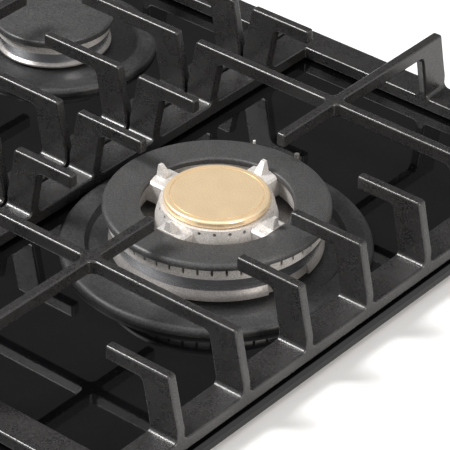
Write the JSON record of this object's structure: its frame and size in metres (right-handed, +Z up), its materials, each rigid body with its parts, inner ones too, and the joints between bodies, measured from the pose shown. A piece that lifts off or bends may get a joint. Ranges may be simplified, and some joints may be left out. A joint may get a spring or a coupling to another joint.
{
  "type": "gas cooktop",
  "caption": "Built-in gas cooktop: black glass panel, cast-iron grates over a wok burner and smaller burners, push-and-turn knobs in front, gas parts in a tray below.",
  "frame": {"origin": "under the middle of the tray, on the plane that the tray rests on", "axes": "+X to the cook's right, +Y to the back, +Z up"},
  "size_m": [0.67, 0.51, 0.1005],
  "materials": {
    "glass_panel": "polished black",
    "seal": "matte",
    "bead": "matte",
    "tray": "galvanised",
    "rails": "galvanised",
    "brackets": "galvanised",
    "screws": "zinc plated",
    "dish": "satin enamel",
    "cup": "polished",
    "crown": "sandblasted",
    "cap": "matte enamel",
    "brass_cap": "satin",
    "brass_small": "turned",
    "ceramic": "glazed",
    "probe": "bare",
    "manifold": "extruded",
    "tap": "cast",
    "tube": "drawn",
    "bezel": "matte",
    "module": "moulded",
    "gland": "moulded",
    "grate": "matte enamel",
    "foot": "matte",
    "spindle": "turned",
    "knob": "satin anodised"
  },
  "bodies": {
    "hob": {"glass_panel": "glass_panel", "worktop_seal": "seal", "bonding_bead": "bead", "bottom_tray": "tray", "burner_rails": "rails", "clamp_brackets": "brackets", "clamp_screws": "screws", "frame_screws": "screws", "wok_dish": "dish", "wok_cup": "cup", "left_front_dish": "dish", "left_rear_dish": "dish", "middle_front_dish": "dish", "middle_rear_dish": "dish", "left_front_cup": "cup", "left_rear_cup": "cup", "middle_front_cup": "cup", "middle_rear_cup": "cup", "injectors": "brass_small", "electrodes": "ceramic", "thermocouples": "probe", "gas_manifold": "manifold", "gas_inlet": "brass_small", "gas_taps": "tap", "supply_tubes": "tube", "knob_bezels": "bezel", "ignition_module": "module", "mains_gland": "gland"},
    "grate_left": {"grate_left": "grate", "grate_left_feet": "foot"},
    "grate_middle": {"grate_middle": "grate", "grate_middle_feet": "foot"},
    "grate_right": {"grate_right": "grate", "grate_right_feet": "foot"},
    "wok_crown": {"wok_crown": "crown"},
    "wok_ring_cap": {"wok_ring_cap": "cap"},
    "wok_centre_cap": {"wok_centre_cap": "brass_cap"},
    "left_front_crown": {"left_front_crown": "crown"},
    "left_front_cap": {"left_front_cap": "cap"},
    "left_rear_crown": {"left_rear_crown": "crown"},
    "left_rear_cap": {"left_rear_cap": "cap"},
    "middle_front_crown": {"middle_front_crown": "crown"},
    "middle_front_cap": {"middle_front_cap": "cap"},
    "middle_rear_crown": {"middle_rear_crown": "crown"},
    "middle_rear_cap": {"middle_rear_cap": "cap"},
    "tap_plug_1": {"tap_plug_1": "brass_small"},
    "knob_1": {"knob_1": "knob", "spindle_1": "spindle"},
    "tap_plug_2": {"tap_plug_2": "brass_small"},
    "knob_2": {"knob_2": "knob", "spindle_2": "spindle"},
    "tap_plug_3": {"tap_plug_3": "brass_small"},
    "knob_3": {"knob_3": "knob", "spindle_3": "spindle"},
    "tap_plug_4": {"tap_plug_4": "brass_small"},
    "knob_4": {"knob_4": "knob", "spindle_4": "spindle"},
    "tap_plug_5": {"tap_plug_5": "brass_small"},
    "knob_5": {"knob_5": "knob", "spindle_5": "spindle"}
  },
  "joints": [
    {"name": "grate_left_lift", "type": "slide", "parent": "hob", "child": "grate_left", "axis": [0, 0, 1], "range_m": [0, 0.06]},
    {"name": "grate_middle_lift", "type": "slide", "parent": "hob", "child": "grate_middle", "axis": [0, 0, 1], "range_m": [0, 0.06]},
    {"name": "grate_right_lift", "type": "slide", "parent": "hob", "child": "grate_right", "axis": [0, 0, 1], "range_m": [0, 0.06]},
    {"name": "wok_crown_lift", "type": "slide", "parent": "hob", "child": "wok_crown", "axis": [0, 0, 1], "range_m": [0, 0.005]},
    {"name": "wok_ring_cap_lift", "type": "slide", "parent": "wok_crown", "child": "wok_ring_cap", "axis": [0, 0, 1], "range_m": [0, 0.0025]},
    {"name": "wok_centre_cap_lift", "type": "slide", "parent": "wok_crown", "child": "wok_centre_cap", "axis": [0, 0, 1], "range_m": [0, 0.03]},
    {"name": "left_front_crown_lift", "type": "slide", "parent": "hob", "child": "left_front_crown", "axis": [0, 0, 1], "range_m": [0, 0.008]},
    {"name": "left_front_cap_lift", "type": "slide", "parent": "left_front_crown", "child": "left_front_cap", "axis": [0, 0, 1], "range_m": [0, 0.006]},
    {"name": "left_rear_crown_lift", "type": "slide", "parent": "hob", "child": "left_rear_crown", "axis": [0, 0, 1], "range_m": [0, 0.008]},
    {"name": "left_rear_cap_lift", "type": "slide", "parent": "left_rear_crown", "child": "left_rear_cap", "axis": [0, 0, 1], "range_m": [0, 0.006]},
    {"name": "middle_front_crown_lift", "type": "slide", "parent": "hob", "child": "middle_front_crown", "axis": [0, 0, 1], "range_m": [0, 0.008]},
    {"name": "middle_front_cap_lift", "type": "slide", "parent": "middle_front_crown", "child": "middle_front_cap", "axis": [0, 0, 1], "range_m": [0, 0.006]},
    {"name": "middle_rear_crown_lift", "type": "slide", "parent": "hob", "child": "middle_rear_crown", "axis": [0, 0, 1], "range_m": [0, 0.008]},
    {"name": "middle_rear_cap_lift", "type": "slide", "parent": "middle_rear_crown", "child": "middle_rear_cap", "axis": [0, 0, 1], "range_m": [0, 0.006]},
    {"name": "knob_1_turn", "type": "hinge", "parent": "hob", "child": "tap_plug_1", "pos_m": [-0.124, -0.218, 0.03], "axis": [0, 0, 1], "range_deg": [0, 210]},
    {"name": "knob_1_press", "type": "slide", "parent": "tap_plug_1", "child": "knob_1", "axis": [0, 0, -1], "range_m": [0, 0.003], "stiffness_N_per_m": 600, "springref_m": -0.004},
    {"name": "knob_2_turn", "type": "hinge", "parent": "hob", "child": "tap_plug_2", "pos_m": [-0.062, -0.218, 0.03], "axis": [0, 0, 1], "range_deg": [0, 210]},
    {"name": "knob_2_press", "type": "slide", "parent": "tap_plug_2", "child": "knob_2", "axis": [0, 0, -1], "range_m": [0, 0.003], "stiffness_N_per_m": 600, "springref_m": -0.004},
    {"name": "knob_3_turn", "type": "hinge", "parent": "hob", "child": "tap_plug_3", "pos_m": [0, -0.218, 0.03], "axis": [0, 0, 1], "range_deg": [0, 210]},
    {"name": "knob_3_press", "type": "slide", "parent": "tap_plug_3", "child": "knob_3", "axis": [0, 0, -1], "range_m": [0, 0.003], "stiffness_N_per_m": 600, "springref_m": -0.004},
    {"name": "knob_4_turn", "type": "hinge", "parent": "hob", "child": "tap_plug_4", "pos_m": [0.062, -0.218, 0.03], "axis": [0, 0, 1], "range_deg": [0, 210]},
    {"name": "knob_4_press", "type": "slide", "parent": "tap_plug_4", "child": "knob_4", "axis": [0, 0, -1], "range_m": [0, 0.003], "stiffness_N_per_m": 600, "springref_m": -0.004},
    {"name": "knob_5_turn", "type": "hinge", "parent": "hob", "child": "tap_plug_5", "pos_m": [0.124, -0.218, 0.03], "axis": [0, 0, 1], "range_deg": [0, 210]},
    {"name": "knob_5_press", "type": "slide", "parent": "tap_plug_5", "child": "knob_5", "axis": [0, 0, -1], "range_m": [0, 0.003], "stiffness_N_per_m": 600, "springref_m": -0.004}
  ]
}
